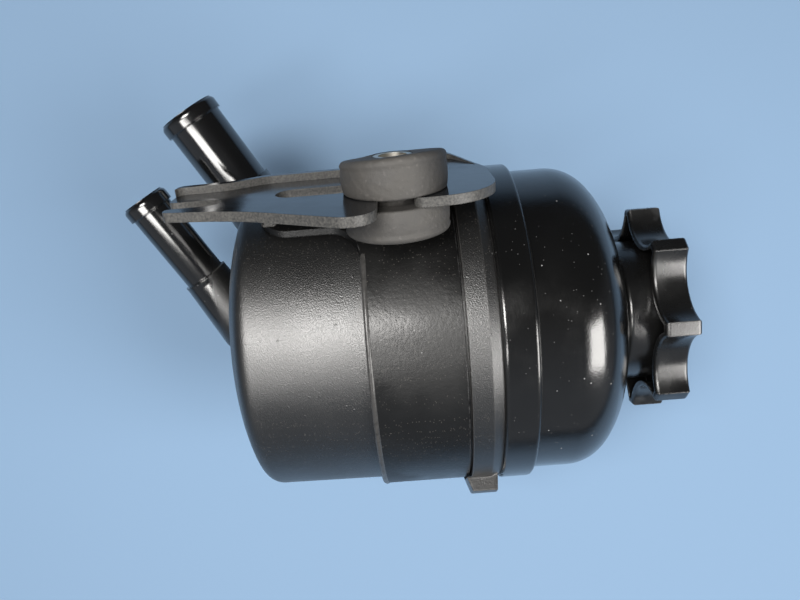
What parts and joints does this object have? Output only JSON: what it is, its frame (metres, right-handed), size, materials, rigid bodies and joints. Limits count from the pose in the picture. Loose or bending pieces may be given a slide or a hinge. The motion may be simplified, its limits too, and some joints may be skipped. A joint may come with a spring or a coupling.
{
  "type": "power steering reservoir",
  "caption": "Moulded oil reservoir with lobed screw cap, dipstick and filter, held in a steel clamp band with bracket plate and rubber grommet, and two slanted hose stubs at its closed end.",
  "frame": {"origin": "centre of the grommet sleeve's bore at the outer face of the bracket plate", "axes": "+Z along the reservoir's axis towards the cap, -X out of the bracket plate's outer face, +Y completes the right-handed frame, towards the clamp ears"},
  "size_m": [0.1196, 0.1187, 0.1546],
  "materials": {
    "can_plastic": "matte, fine grained",
    "shell_plastic": "satin, dusty",
    "cap_plastic": "satin",
    "inner_plastic": "smooth",
    "dipstick_plastic": "smooth",
    "band_coat": "semi-gloss, slightly orange-peeled",
    "plate_coat": "gloss, worn at the sheared edges",
    "grommet_rubber": "weathered, grey-brown",
    "seal_rubber": "smooth",
    "zinc_steel": "zinc plated",
    "tin_plate": "pressed sheet",
    "filter_paper": "pleated medium"
  },
  "bodies": {
    "reservoir": {"lower_can": "can_plastic", "upper_shell": "shell_plastic", "clamp_band": "band_coat", "bracket_plate": "plate_coat", "mount_grommet": "grommet_rubber", "grommet_sleeve": "zinc_steel", "clamp_screw": "zinc_steel", "clamp_washer": "zinc_steel", "clamp_nut": "zinc_steel", "baffle": "inner_plastic", "filter_spring": "zinc_steel"},
    "seal_carrier": {"cap_seal": "seal_rubber"},
    "cap": {"cap_shell": "cap_plastic", "cap_plug": "inner_plastic", "vent_valve": "seal_rubber", "dipstick": "dipstick_plastic"},
    "filter": {"filter_base": "tin_plate", "filter_media": "filter_paper", "filter_core": "tin_plate", "filter_top": "tin_plate", "filter_seal": "seal_rubber"}
  },
  "joints": [
    {"name": "cap_lift", "type": "slide", "parent": "reservoir", "child": "seal_carrier", "axis": [0, 0, 1], "range_m": [0, 0.07]},
    {"name": "cap_turn", "type": "hinge", "parent": "seal_carrier", "child": "cap", "pos_m": [0.0497, 0.03359, 0.0733], "axis": [0, 0, 1], "range_deg": [0, 360]},
    {"name": "filter_lift", "type": "slide", "parent": "reservoir", "child": "filter", "axis": [0, 0, 1], "range_m": [0, 0.004], "stiffness_N_per_m": 600, "springref_m": -0.005, "deforming": ["filter_spring"]}
  ]
}
